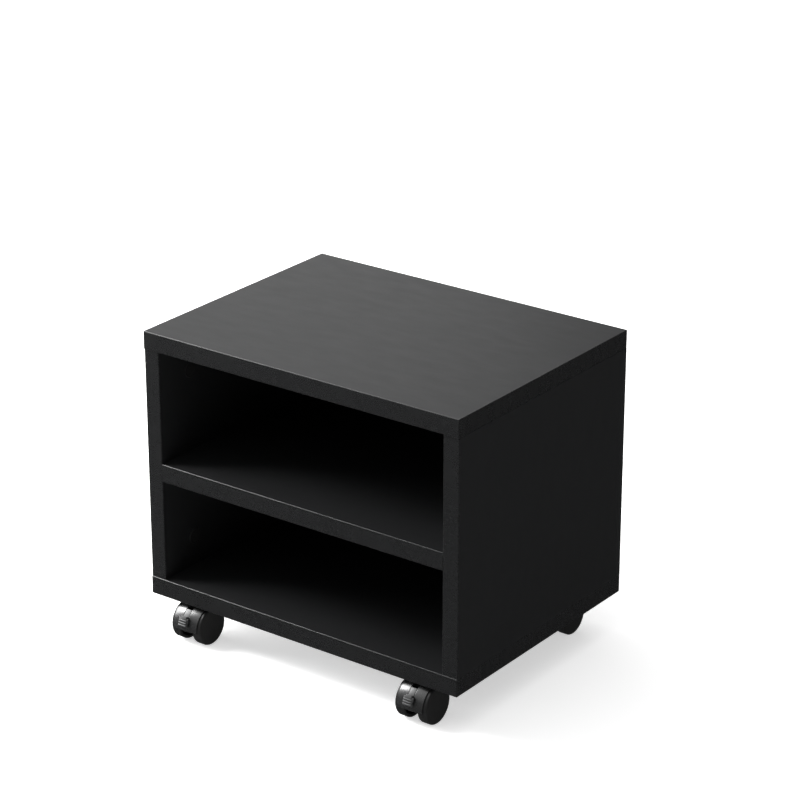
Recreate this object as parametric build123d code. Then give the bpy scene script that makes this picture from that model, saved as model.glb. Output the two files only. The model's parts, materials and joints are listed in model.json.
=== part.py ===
"""Two-tier rolling stand for a desktop printer: a board cabinet on four twin-wheel casters.

Millimetres, +Z up, front towards -Y, +X to the right seen from the front.
The origin is on the floor, midway between the foremost and rearmost points.
Each board is a core with a plastic band on its visible edges.
"""

from build123d import *
from math import atan2, cos, degrees, hypot, radians, sin
import os

# ---------------------------------------------------------------- cabinet
CABINET_WIDTH = 400.0
CABINET_DEPTH = 300.0
CABINET_HEIGHT = 300.0
BOARD = 20.0  # top, bottom and shelf boards
SIDE = 19.0  # side panels
BACK = 9.5  # back panel
LOWER_BAY = 114.0  # clear height between the bottom board and the shelf
PANEL_SETBACK = 1.0  # front of the side panels and shelf behind the front of the boards
BAND = 1.0  # edge band
EDGE_ROUND = 0.8  # rounding of the bands' outer edges
BACK_EDGE_CHAMFER = 0.4
FIT = 0.05  # radial room of a pressed or glued-in piece in its hole
PAST = 1.0  # how far a cutter runs past the face it opens
OVERLAP = 0.5  # how far a moulded rib runs into the wall it grows from
BREAK = 0.4  # chamfer on the ends of turned pieces

# ---------------------------------------------------------------- cam joints and dowels
CAM_INSET = 50.0  # joints from the front and from the back of a side panel
CAM_REACH = 34.0  # joint face to the cam's axis
CAM_RADIUS = 7.5
CAM_BELOW_BOLT = 4.3  # cam past the bolt's axis
CAM_RECESS = 0.5  # cam's face below the board's face
CAM_STUD_HOLE = 2.4
CAM_SLOT_LENGTH = 10.5
CAP_RADIUS = 9.0
CAP_THICKNESS = 1.2
CAP_ROUND = 0.84
CAP_STUD_LENGTH = 1.6
CAP_STUD_ROOM = 0.4
BOLT_THREAD_RADIUS = 3.0
BOLT_THREAD_LENGTH = 11.0
BOLT_COLLAR_RADIUS = 3.9
BOLT_COLLAR_LENGTH = 3.0
BOLT_SHAFT_RADIUS = 2.4
BOLT_HEAD_RADIUS = 3.4
BOLT_BORE = 4.0
CAM_POCKET_ROOM = 0.3
DOWEL_RADIUS = 4.0
DOWEL_LENGTH = 30.0
DOWEL_FROM_CAM = 32.0  # dowel to its neighbouring cam bolt
DOWEL_END_ROOM = 0.5
DOWEL_CHAMFER = 0.8

# ---------------------------------------------------------------- back panel screws
SCREW_RADIUS = 2.0
SCREW_LENGTH = 32.0
SCREW_HEAD_RADIUS = 4.0
SCREW_HEAD_HEIGHT = 2.6
SCREW_POINT = 3.0
SCREW_END_INSET = 30.0  # outer screws from the top and bottom of the back panel
SHELF_SCREW_PITCH = 120.0
RECESS_WIDTH = 0.9
RECESS_DEPTH = 1.6

# ---------------------------------------------------------------- casters
STEM_INSET_X = 52.0  # stem axis from the cabinet's side
STEM_INSET_Y = 25.5  # stem axis from the cabinet's front or back
TRAIL = 12.0  # stem axis to axle
WHEEL_RADIUS = 21.0
WHEEL_WIDTH = 11.0
WHEEL_SPACE = 17.4  # between the two wheels
WHEEL_SHOULDER = 2.1
WHEEL_INNER_EDGE = 1.0
WHEEL_WEB = 2.4
WHEEL_RIM = 2.9
HUB_RADIUS = 6.0
RIB_COUNT = 6
RIB_THICKNESS = 1.4
RIB_SETBACK = 3.8  # ribs behind the wheel's inner face
AXLE_RADIUS = 3.0
RUNNING_FIT = 0.05  # radial room of a shaft that turns in its bore
AXLE_GROOVE = 0.25  # depth of the groove that the wheel snaps into
AXLE_GROOVE_WIDTH = 1.5
SNAP_WIDTH = 0.6
SNAP_RAMP = 0.3
SNAP_FROM_BORE_END = 2.0
BORE_BOTTOM = 3.0  # wheel's outer face to the end of its bore
AXLE_END_ROOM = 0.3

HOOD_GAP = 0.7  # tread to the hood's inside
HOOD_WALL = 2.0  # at the middle
HOOD_ROOM = 0.8  # hood to the cabinet's underside
HOOD_WIDTH = 31.6
HOOD_CROWN = 1.3  # how much lower the hood's ends are than its middle
HOOD_FRONT_EDGE = -4.5  # degrees above the axle, seen from the front
HOOD_REAR_EDGE = 172.0
WEB_THICKNESS = 10.0
WEB_BELOW_AXLE = 6.0
WEB_SETBACK = 1.0  # web's front edge behind the axle
AXLE_BOSS_RADIUS = 6.5
AXLE_BOSS_ROOM = 0.4  # boss to each wheel's hub
SOCKET_RADIUS = 7.6
SOCKET_ROOM = 1.5  # socket to the cabinet's underside
SOCKET_DEPTH = 24.0
SOCKET_END = 2.0  # wall below the stem

STEM_RADIUS = 4.0
STEM_THREAD_LENGTH = 14.0
STEM_THREAD_ROOT = 0.15  # thread's mean radius below the stem's
COLLAR_FLATS = 12.0
COLLAR_ROOM = 0.3  # collar above the socket
CLIP_ABOVE_SOCKET_FLOOR = 7.0
CLIP_THICKNESS = 1.2
CLIP_GROOVE_DEPTH = 0.7
CLIP_GROOVE_WIDTH = 1.9
CLIP_RADIUS = 4.9
CLIP_GAP = 2.4
CLIP_ROOM = 0.3
INSERT_RADIUS = 6.0
INSERT_BARB = 0.5
INSERT_LENGTH = 15.0
INSERT_BARB_COUNT = 3
INSERT_BARB_CREST = 0.2  # a barb's crest and foot, as shares of the barbs' pitch
INSERT_BARB_FOOT = 0.7

# ---------------------------------------------------------------- brake, front casters
BRAKE_PIVOT_ANGLE = 48.0  # degrees above the axle, seen from the front
BRAKE_PIVOT_BELOW_TREAD = 8.3
BRAKE_PIN_RADIUS = 1.5
BRAKE_PIN_FIT = 0.02
PIN_CHAMFER = 0.3
LUG_HALF_WIDTH = 3.2
LUG_THICKNESS = 2.0
LEVER_THICKNESS = 7.2
LEVER_SIDE_ROOM = 0.3
LEVER_BOSS_RADIUS = 3.0
ARM_DEPTH = 2.7
ARM_TOP = 56.0
ARM_BOTTOM = 33.0
SLOT_TOP = 69.0
SLOT_BOTTOM = 21.0
SHOE_RADIUS = 1.2
SHOE_LENGTH = 21.0
SHOE_BACK = 6.6  # shoe behind and above the pivot
SHOE_UP = 5.9
SHOE_HOLDER_RADIUS = 2.2
TAB_GAP = 1.7  # hood to the tab's underside
TAB_THICKNESS = 2.2
TAB_WIDTH = 12.2
TAB_TOP = 30.5
TAB_BOTTOM = 9.5
TAB_EDGE = 0.5
NECK_TOP = 34.5  # the neck that joins the tab to the arm
NECK_BOTTOM = 27.0
PLATE_INSET = 1.0  # degrees from the arm's ends to the lever plate's corners
TAB_RIB_ANGLES = (13.0, 18.5, 24.0)
TAB_RIB_RADIUS = 0.7

# ---------------------------------------------------------------- worked out from the above
HOOD_INNER = WHEEL_RADIUS + HOOD_GAP
HOOD_OUTER = HOOD_INNER + HOOD_WALL
TAB_INNER = HOOD_OUTER + TAB_GAP
TAB_OUTER = TAB_INNER + TAB_THICKNESS
STEM_X = CABINET_WIDTH / 2 - STEM_INSET_X
STEM_Y = CABINET_DEPTH / 2 - STEM_INSET_Y
BRAKE_REACH = TRAIL + TAB_OUTER * cos(radians(TAB_RIB_ANGLES[0])) + TAB_RIB_RADIUS
FRONT_OVERHANG = max(0.0, BRAKE_REACH - STEM_INSET_Y)
MIDDLE_Y = FRONT_OVERHANG / 2  # cabinet's centre, so that the whole stand is centred
FRONT_Y = MIDDLE_Y - CABINET_DEPTH / 2
REAR_Y = MIDDLE_Y + CABINET_DEPTH / 2
UNDERSIDE = WHEEL_RADIUS + HOOD_OUTER + HOOD_ROOM
SOCKET_TOP = UNDERSIDE - SOCKET_ROOM
SOCKET_FLOOR = SOCKET_TOP - SOCKET_DEPTH
CLIP_HEIGHT = SOCKET_FLOOR + CLIP_ABOVE_SOCKET_FLOOR
BRAKE_PIVOT_DISTANCE = WHEEL_RADIUS - BRAKE_PIVOT_BELOW_TREAD
TOP = UNDERSIDE + CABINET_HEIGHT
PANEL_LOW = UNDERSIDE + BOARD
PANEL_HIGH = TOP - BOARD
SHELF_LOW = PANEL_LOW + LOWER_BAY
SHELF_WIDTH = CABINET_WIDTH - 2 * SIDE
SIDE_CENTRE = (CABINET_WIDTH - SIDE) / 2
PANEL_FRONT = FRONT_Y + PANEL_SETBACK
PANEL_REAR = REAR_Y - BACK
LEFT, RIGHT = -1, 1


def block(low, high):
    """A box between two corners."""
    size = [b - a for a, b in zip(low, high)]
    middle = [(a + b) / 2 for a, b in zip(low, high)]
    return Pos(*middle) * Box(*size)


def aimed(point, z_dir, y_dir):
    """The place at a point with its local Z and Y along two world directions."""
    z_dir, y_dir = Vector(*z_dir), Vector(*y_dir)
    return Plane(origin=point, x_dir=y_dir.cross(z_dir), z_dir=z_dir).location


def rod(radius, low, high, chamfer_size=0.0):
    """A cylinder on the local Z axis from one height to another."""
    shape = Pos(0, 0, (low + high) / 2) * Cylinder(radius, high - low)
    if chamfer_size:
        shape = chamfer(shape.edges().filter_by(GeomType.CIRCLE), chamfer_size)
    return shape


def turned(points, axis=Axis.Z):
    """A ring or disc turned from an outline of (radius, height) points about Z, or about X."""
    if axis == Axis.Z:
        outline = Plane.XZ * make_face(Polyline(*points, close=True))
    else:
        outline = Plane.XZ * make_face(Polyline(*[(h, r) for r, h in points], close=True))
    return revolve(outline, axis)


# ---------------------------------------------------------------- joints between boards
def cam_bolt():
    """The bolt: threaded into one board above Z = 0, its head in the cam below."""
    thread = rod(BOLT_THREAD_RADIUS, 0, BOLT_THREAD_LENGTH, BREAK)
    collar = rod(BOLT_COLLAR_RADIUS, -BOLT_COLLAR_LENGTH, 0)
    shaft = rod(BOLT_SHAFT_RADIUS, -CAM_REACH, -BOLT_COLLAR_LENGTH)
    head = Pos(0, 0, -CAM_REACH) * Sphere(BOLT_HEAD_RADIUS)
    return thread + collar + shaft + head


def cam_lock(axis_depth):
    """The cam: a disc on the local Y axis with a pocket that grips the bolt's head."""
    face = axis_depth - CAM_RECESS
    place = aimed((0, 0, -CAM_REACH), (0, 1, 0), (1, 0, 0))
    disc = place * rod(CAM_RADIUS, -CAM_BELOW_BOLT, face, BREAK)
    pocket_radius = BOLT_HEAD_RADIUS + CAM_POCKET_ROOM
    disc -= Pos(0, 0, -CAM_REACH) * Sphere(pocket_radius)
    disc -= rod(pocket_radius, -CAM_REACH, -CAM_REACH + CAM_RADIUS + PAST)
    disc -= place * rod(CAM_STUD_HOLE, face - CAP_STUD_LENGTH - CAP_STUD_ROOM, face)
    for turn in (0, 90):
        slot = Box(CAM_SLOT_LENGTH, RECESS_WIDTH, RECESS_DEPTH)
        disc -= place * Pos(0, 0, face - RECESS_DEPTH / 2) * Rot(Z=turn) * slot
    return disc


def cam_cap(axis_depth):
    """The cover that closes a cam's hole: a thin domed disc with a stud."""
    place = aimed((0, 0, -CAM_REACH), (0, 1, 0), (1, 0, 0))
    disc = rod(CAP_RADIUS, axis_depth, axis_depth + CAP_THICKNESS)
    disc = fillet(disc.edges().filter_by(GeomType.CIRCLE).sort_by(Axis.Z)[-1], CAP_ROUND)
    stud = rod(CAM_STUD_HOLE - FIT, axis_depth - CAP_STUD_LENGTH, axis_depth)
    return place * (disc + stud)


def cam_hole(axis_depth):
    """What the cam, its cap's stud and the bolt's shaft need in the board that holds the cam."""
    place = aimed((0, 0, -CAM_REACH), (0, 1, 0), (1, 0, 0))
    hole = place * rod(CAM_RADIUS + FIT, -CAM_BELOW_BOLT - 2 * FIT, axis_depth + PAST)
    return hole + rod(BOLT_BORE, -CAM_REACH, PAST)


def thread_hole():
    """The pilot hole in the board that the bolt screws into."""
    return rod(BOLT_THREAD_RADIUS + FIT, -PAST, BOLT_THREAD_LENGTH + PAST)


def dowel():
    """A wooden dowel centred on the joint face."""
    return rod(DOWEL_RADIUS, -DOWEL_LENGTH / 2, DOWEL_LENGTH / 2, DOWEL_CHAMFER)


def dowel_hole():
    """The holes for a dowel in both boards."""
    reach = DOWEL_LENGTH / 2 + DOWEL_END_ROOM
    return rod(DOWEL_RADIUS + FIT, -reach, reach)


# Rows of joints run from front to back, at the same insets in every board.
JOINT_ROW = (FRONT_Y + CAM_INSET, PANEL_REAR - CAM_INSET)
DOWEL_ROW = (JOINT_ROW[0] + DOWEL_FROM_CAM, JOINT_ROW[1] - DOWEL_FROM_CAM)


def panel_joints(side, row):
    """Places on a side panel's top and bottom ends, local Z into the board beyond."""
    x = side * SIDE_CENTRE
    inwards = (-side, 0, 0)
    places = []
    for y in row:
        places.append(aimed((x, y, PANEL_HIGH), (0, 0, 1), inwards))
        places.append(aimed((x, y, PANEL_LOW), (0, 0, -1), inwards))
    return places


def shelf_joints(side, row):
    """Places on a shelf end, local Z into the side panel and local Y down."""
    x, z = side * SHELF_WIDTH / 2, SHELF_LOW + BOARD / 2
    return [aimed((x, y, z), (side, 0, 0), (0, 0, -1)) for y in row]


SIDE_CAMS = {side: panel_joints(side, JOINT_ROW) for side in (LEFT, RIGHT)}
SIDE_DOWELS = {side: panel_joints(side, DOWEL_ROW) for side in (LEFT, RIGHT)}
SHELF_CAMS = {side: shelf_joints(side, JOINT_ROW) for side in (LEFT, RIGHT)}
SHELF_DOWELS = {side: shelf_joints(side, DOWEL_ROW) for side in (LEFT, RIGHT)}
ALL_SIDE_CAMS = SIDE_CAMS[LEFT] + SIDE_CAMS[RIGHT]
ALL_SHELF_CAMS = SHELF_CAMS[LEFT] + SHELF_CAMS[RIGHT]


# ---------------------------------------------------------------- back panel screws
def screw():
    """A countersunk wood screw along local -Z, the top of its head at Z = 0."""
    head = SCREW_HEAD_HEIGHT
    outline = [
        (0, 0),
        (SCREW_HEAD_RADIUS, 0),
        (SCREW_RADIUS, -head),
        (SCREW_RADIUS, SCREW_POINT - SCREW_LENGTH),
        (0, -SCREW_LENGTH),
    ]
    shape = turned(outline)
    for turn in (45, 135):
        recess = Box(SCREW_HEAD_RADIUS * 1.1, RECESS_WIDTH, RECESS_DEPTH)
        shape -= Pos(0, 0, -RECESS_DEPTH / 2) * Rot(Z=turn) * recess
    return shape


def screw_hole():
    """The countersink and pilot hole of a screw."""
    head = SCREW_HEAD_HEIGHT
    wide, narrow = SCREW_HEAD_RADIUS + FIT, SCREW_RADIUS + FIT
    end = -SCREW_LENGTH - PAST
    return turned([(0, PAST), (wide, PAST), (wide, 0), (narrow, -head), (narrow, end), (0, end)])


def screw_places():
    """Screws into both side panels' rear edges and into the shelf's rear edge."""
    low, high = PANEL_LOW + SCREW_END_INSET, PANEL_HIGH - SCREW_END_INSET
    middle = SHELF_LOW + BOARD / 2
    spots = [(side * SIDE_CENTRE, z) for side in (LEFT, RIGHT) for z in (low, middle, high)]
    spots += [(x, middle) for x in (-SHELF_SCREW_PITCH, 0.0, SHELF_SCREW_PITCH)]
    return [aimed((x, REAR_Y, z), (0, 1, 0), (0, 0, 1)) for x, z in spots]


SCREWS = screw_places()


def drilled(board, cutters):
    """A board with its holes."""
    for cutter in cutters:
        board -= cutter
    return board


# ---------------------------------------------------------------- boards
def banded_board(low, cutters):
    """A full-size board at a height: its core, and the band round its four edges."""
    x, high = CABINET_WIDTH / 2, low + BOARD
    whole = block((-x, FRONT_Y, low), (x, REAR_Y, high))
    core = block((-x + BAND, FRONT_Y + BAND, low), (x - BAND, REAR_Y - BAND, high))
    band = fillet(whole.edges(), EDGE_ROUND) - core
    return drilled(core, cutters), band


def side_panel(side):
    """A side panel and the band on its front edge."""
    x = side * SIDE_CENTRE
    low, high = (x - SIDE / 2, PANEL_FRONT, PANEL_LOW), (x + SIDE / 2, PANEL_REAR, PANEL_HIGH)
    core = block((low[0], PANEL_FRONT + BAND, low[2]), high)
    band = block(low, (high[0], PANEL_FRONT + BAND, high[2]))
    front_edges = band.edges().filter_by(Axis.Z).group_by(Axis.Y)[0]
    band = fillet(front_edges, EDGE_ROUND)
    depth = SIDE / 2
    cutters = [place * cam_hole(depth) for place in SIDE_CAMS[side]]
    cutters += [place * dowel_hole() for place in SIDE_DOWELS[side] + SHELF_DOWELS[side]]
    cutters += [place * thread_hole() for place in SHELF_CAMS[side]]
    cutters += [place * screw_hole() for place in SCREWS]
    return drilled(core, cutters), band


def shelf():
    """The shelf between the side panels and the band on its front edge."""
    x, high = SHELF_WIDTH / 2, SHELF_LOW + BOARD
    core = block((-x, PANEL_FRONT + BAND, SHELF_LOW), (x, PANEL_REAR, high))
    band = block((-x, PANEL_FRONT, SHELF_LOW), (x, PANEL_FRONT + BAND, high))
    front_edges = band.edges().filter_by(Axis.X).group_by(Axis.Y)[0]
    band = fillet(front_edges, EDGE_ROUND)
    cutters = [place * cam_hole(BOARD / 2) for place in ALL_SHELF_CAMS]
    cutters += [place * dowel_hole() for side in (LEFT, RIGHT) for place in SHELF_DOWELS[side]]
    cutters += [place * screw_hole() for place in SCREWS]
    return drilled(core, cutters), band


def back_panel():
    """The back, between the top and bottom boards and over the side panels' rear edges."""
    x = CABINET_WIDTH / 2
    panel = block((-x, PANEL_REAR, PANEL_LOW), (x, REAR_Y, PANEL_HIGH))
    panel = chamfer(panel.edges().filter_by(Axis.Z), BACK_EDGE_CHAMFER)
    return drilled(panel, [place * screw_hole() for place in SCREWS])


# ---------------------------------------------------------------- caster pieces
# A caster is modelled round its stem, on the floor, with its axle in front of the stem.
AXLE = Pos(0, -TRAIL, WHEEL_RADIUS)
INNER_FACE = WHEEL_SPACE / 2
OUTER_FACE = INNER_FACE + WHEEL_WIDTH
SNAP_MIDDLE = OUTER_FACE - BORE_BOTTOM - SNAP_FROM_BORE_END


def ahead(distance, angle):
    """The (Y, Z) point at a distance from the axle, at an angle above it seen from the front."""
    return -distance * cos(radians(angle)), distance * sin(radians(angle))


def arc_strip(inner, outer, low, high, width):
    """A strip of a tube round the axle, between two angles seen from the front."""
    outline = Plane.XZ * make_face(Polyline(
        (-width / 2, inner), (width / 2, inner), (width / 2, outer), (-width / 2, outer), close=True
    ))
    return revolve(Rot(X=90 - high) * outline, Axis.X, high - low)


def slab(outline, width):
    """An outline in the (Y, Z) plane made a plate centred on X = 0."""
    return extrude(Plane.YZ * outline, width / 2, both=True)


def strip_between(start, end, half_width):
    """The outline of a round-ended strip between two points."""
    across, up = end[0] - start[0], end[1] - start[1]
    middle = Pos(start[0] + across / 2, start[1] + up / 2)
    turn = Rot(Z=degrees(atan2(up, across)))
    return middle * turn * SlotCenterToCenter(hypot(across, up), 2 * half_width)


PIVOT = ahead(BRAKE_PIVOT_DISTANCE, BRAKE_PIVOT_ANGLE)
SHOE = (PIVOT[0] + SHOE_BACK, PIVOT[1] + SHOE_UP)


def on_x(radius, half_length, point=(0, 0), chamfer_size=0.0):
    """A cylinder along X, centred on a (Y, Z) point."""
    shape = rod(radius, -half_length, half_length, chamfer_size)
    return Pos(0, *point) * Rot(Y=90) * shape


def hood(braked):
    """The hood: a shell over the wheels, a web, the axle boss and the stem's socket."""
    end, rim = HOOD_WIDTH / 2, HOOD_OUTER - HOOD_CROWN
    outline = make_face([
        Line((end, rim), (end, HOOD_INNER)),
        Line((end, HOOD_INNER), (-end, HOOD_INNER)),
        Line((-end, HOOD_INNER), (-end, rim)),
        ThreePointArc((-end, rim), (0, HOOD_OUTER), (end, rim)),
    ])
    start = Rot(X=90 - HOOD_REAR_EDGE) * (Plane.XZ * outline)
    shape = revolve(start, Axis.X, HOOD_REAR_EDGE - HOOD_FRONT_EDGE)

    middle_wall = (HOOD_INNER + HOOD_OUTER) / 2
    behind = Pos(WEB_SETBACK + middle_wall / 2, (middle_wall - WEB_BELOW_AXLE) / 2)
    behind *= Rectangle(middle_wall, middle_wall + WEB_BELOW_AXLE)
    shape += slab(Circle(middle_wall) & behind, WEB_THICKNESS)
    shape += on_x(AXLE_BOSS_RADIUS, INNER_FACE - AXLE_BOSS_ROOM)
    if braked:
        lug = strip_between((0, 0), ahead(middle_wall, BRAKE_PIVOT_ANGLE), LUG_HALF_WIDTH)
        lug = lug & Circle(middle_wall)
        between = LEVER_THICKNESS + 2 * LEVER_SIDE_ROOM
        shape += slab(lug, between + 2 * LUG_THICKNESS) - slab(lug, between)
        shape -= arc_strip(HOOD_INNER - PAST, HOOD_OUTER + PAST, SLOT_BOTTOM, SLOT_TOP, between)
        shape -= on_x(BRAKE_PIN_RADIUS + BRAKE_PIN_FIT, HOOD_WIDTH, PIVOT)
    shape = AXLE * shape

    shape += rod(SOCKET_RADIUS, SOCKET_FLOOR, SOCKET_TOP)
    shape -= rod(SOCKET_RADIUS, SOCKET_TOP, UNDERSIDE)
    shape -= rod(STEM_RADIUS + RUNNING_FIT, SOCKET_FLOOR + SOCKET_END, SOCKET_TOP + PAST)
    clip_room = CLIP_THICKNESS / 2 + CLIP_ROOM
    shape -= rod(CLIP_RADIUS + CLIP_ROOM, CLIP_HEIGHT - clip_room, CLIP_HEIGHT + clip_room)
    return shape - AXLE * on_x(AXLE_RADIUS + BRAKE_PIN_FIT, HOOD_WIDTH)


def tread_edges(shape):
    """A wheel's circular edges as wide as its tread, in order along X."""
    circles = shape.edges().filter_by(GeomType.CIRCLE)
    return circles.filter_by(lambda edge: abs(edge.radius - WHEEL_RADIUS) < FIT).sort_by(Axis.X)


def wheel(side):
    """A dished wheel with ribs inside, its bore closed on the outer face."""
    web, rim = OUTER_FACE - WHEEL_WEB, WHEEL_RADIUS - WHEEL_RIM
    bore, snap = AXLE_RADIUS + RUNNING_FIT, AXLE_RADIUS - AXLE_GROOVE + RUNNING_FIT
    end = OUTER_FACE - BORE_BOTTOM
    half, ramp = SNAP_WIDTH / 2, SNAP_WIDTH / 2 + SNAP_RAMP
    outline = [
        (bore, INNER_FACE),
        (bore, SNAP_MIDDLE - ramp),
        (snap, SNAP_MIDDLE - half),
        (snap, SNAP_MIDDLE + half),
        (bore, SNAP_MIDDLE + ramp),
        (bore, end),
        (0, end),
        (0, OUTER_FACE),
        (WHEEL_RADIUS, OUTER_FACE),
        (WHEEL_RADIUS, INNER_FACE),
        (rim, INNER_FACE),
        (rim, web),
        (HUB_RADIUS, web),
        (HUB_RADIUS, INNER_FACE),
    ]
    shape = turned(outline, Axis.X)
    shape = fillet(tread_edges(shape)[-1], WHEEL_SHOULDER)
    shape = fillet(tread_edges(shape)[0], WHEEL_INNER_EDGE)
    rib_low = (INNER_FACE + RIB_SETBACK, -RIB_THICKNESS / 2, HUB_RADIUS - OVERLAP)
    rib_high = (web + OVERLAP, RIB_THICKNESS / 2, rim + OVERLAP)
    rib = block(rib_low, rib_high)
    for number in range(RIB_COUNT):
        shape += Rot(X=360 * number / RIB_COUNT) * rib
    if side == LEFT:
        shape = Rot(Z=180) * shape
    return AXLE * shape


def axle():
    """The axle, with a groove near each end that a wheel snaps into."""
    end = OUTER_FACE - BORE_BOTTOM - AXLE_END_ROOM
    shape = on_x(AXLE_RADIUS, end, chamfer_size=BREAK)
    for side in (LEFT, RIGHT):
        sleeve = rod(AXLE_RADIUS + PAST, -AXLE_GROOVE_WIDTH / 2, AXLE_GROOVE_WIDTH / 2)
        sleeve -= rod(AXLE_RADIUS - AXLE_GROOVE, -AXLE_GROOVE_WIDTH, AXLE_GROOVE_WIDTH)
        shape -= Pos(side * SNAP_MIDDLE, 0, 0) * Rot(Y=90) * sleeve
    return AXLE * shape


def stem():
    """The stem: a pin in the hood's socket, a hexagonal collar, and the thread above."""
    collar_low = SOCKET_TOP + COLLAR_ROOM
    pin = rod(STEM_RADIUS, SOCKET_FLOOR + SOCKET_END + AXLE_END_ROOM, collar_low, BREAK)
    low, high = CLIP_HEIGHT - CLIP_GROOVE_WIDTH / 2, CLIP_HEIGHT + CLIP_GROOVE_WIDTH / 2
    sleeve = rod(STEM_RADIUS + PAST, low, high)
    pin -= sleeve - rod(STEM_RADIUS - CLIP_GROOVE_DEPTH, low - PAST, high + PAST)
    flats = RegularPolygon(COLLAR_FLATS / 2, 6, major_radius=False)
    collar = Pos(0, 0, collar_low) * extrude(flats, UNDERSIDE - collar_low)
    thread = rod(STEM_RADIUS - STEM_THREAD_ROOT, UNDERSIDE, UNDERSIDE + STEM_THREAD_LENGTH, BREAK)
    return pin + collar + thread


def retaining_ring():
    """The split ring that holds the stem in its socket."""
    low, high = CLIP_HEIGHT - CLIP_THICKNESS / 2, CLIP_HEIGHT + CLIP_THICKNESS / 2
    ring = rod(CLIP_RADIUS, low, high)
    ring -= rod(STEM_RADIUS - CLIP_GROOVE_DEPTH + FIT, low - PAST, high + PAST)
    return ring - block((-CLIP_GAP / 2, 0, low - PAST), (CLIP_GAP / 2, CLIP_RADIUS + PAST, high + PAST))


def insert_nut():
    """The barbed threaded insert in the bottom board."""
    pitch = INSERT_LENGTH / INSERT_BARB_COUNT
    outline = [(STEM_RADIUS, UNDERSIDE), (INSERT_RADIUS, UNDERSIDE)]
    for number in range(INSERT_BARB_COUNT):
        low = UNDERSIDE + pitch * number
        outline.append((INSERT_RADIUS + INSERT_BARB, low + pitch * INSERT_BARB_CREST))
        outline.append((INSERT_RADIUS, low + pitch * INSERT_BARB_FOOT))
    outline += [(INSERT_RADIUS, UNDERSIDE + INSERT_LENGTH), (STEM_RADIUS, UNDERSIDE + INSERT_LENGTH)]
    return turned(outline)


def insert_hole():
    """The blind hole for the insert."""
    return rod(INSERT_RADIUS + INSERT_BARB + FIT, UNDERSIDE - PAST, UNDERSIDE + INSERT_LENGTH + PAST)


def brake_lever():
    """The lever: an arm in the hood's slot, a ribbed thumb tab, and the shoe between the wheels."""
    arm_inner = HOOD_OUTER - ARM_DEPTH
    arm_middle = (arm_inner + HOOD_OUTER) / 2
    low, high = ahead(arm_middle, ARM_BOTTOM + PLATE_INSET), ahead(arm_middle, ARM_TOP - PLATE_INSET)
    plate = make_face(Polyline(PIVOT, low, high, SHOE, close=True))
    plate += strip_between(PIVOT, SHOE, SHOE_HOLDER_RADIUS)
    plate += Pos(*PIVOT) * Circle(LEVER_BOSS_RADIUS)
    shape = slab(plate, LEVER_THICKNESS)
    shape += arc_strip(arm_inner, HOOD_OUTER, ARM_BOTTOM, ARM_TOP, LEVER_THICKNESS)
    shape += arc_strip(arm_inner, TAB_OUTER, NECK_BOTTOM, NECK_TOP, LEVER_THICKNESS)
    tab = arc_strip(TAB_INNER, TAB_OUTER, TAB_BOTTOM, TAB_TOP, TAB_WIDTH)
    tab = fillet(tab.edges().filter_by(GeomType.CIRCLE), TAB_EDGE)
    shape += tab
    for angle in TAB_RIB_ANGLES:
        shape += on_x(TAB_RIB_RADIUS, TAB_WIDTH / 2 - 2 * TAB_EDGE, ahead(TAB_OUTER, angle))
    shape += on_x(SHOE_RADIUS, SHOE_LENGTH / 2, SHOE, PIN_CHAMFER)
    shape -= on_x(BRAKE_PIN_RADIUS + RUNNING_FIT, HOOD_WIDTH, PIVOT)
    return AXLE * shape


def brake_pin():
    """The brake's pivot pin, held in the hood's two lugs."""
    half = LEVER_THICKNESS / 2 + LEVER_SIDE_ROOM + LUG_THICKNESS
    return AXLE * on_x(BRAKE_PIN_RADIUS, half, PIVOT, PIN_CHAMFER)


# ---------------------------------------------------------------- assembly
CASTERS = {
    "front_left": Pos(-STEM_X, MIDDLE_Y - STEM_Y, 0),
    "front_right": Pos(STEM_X, MIDDLE_Y - STEM_Y, 0),
    "rear_left": Pos(-STEM_X, MIDDLE_Y + STEM_Y, 0),
    "rear_right": Pos(STEM_X, MIDDLE_Y + STEM_Y, 0),
}


def group(places, shape):
    """Copies of one piece as separate solids."""
    return Compound(children=[place * shape for place in places])


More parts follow.
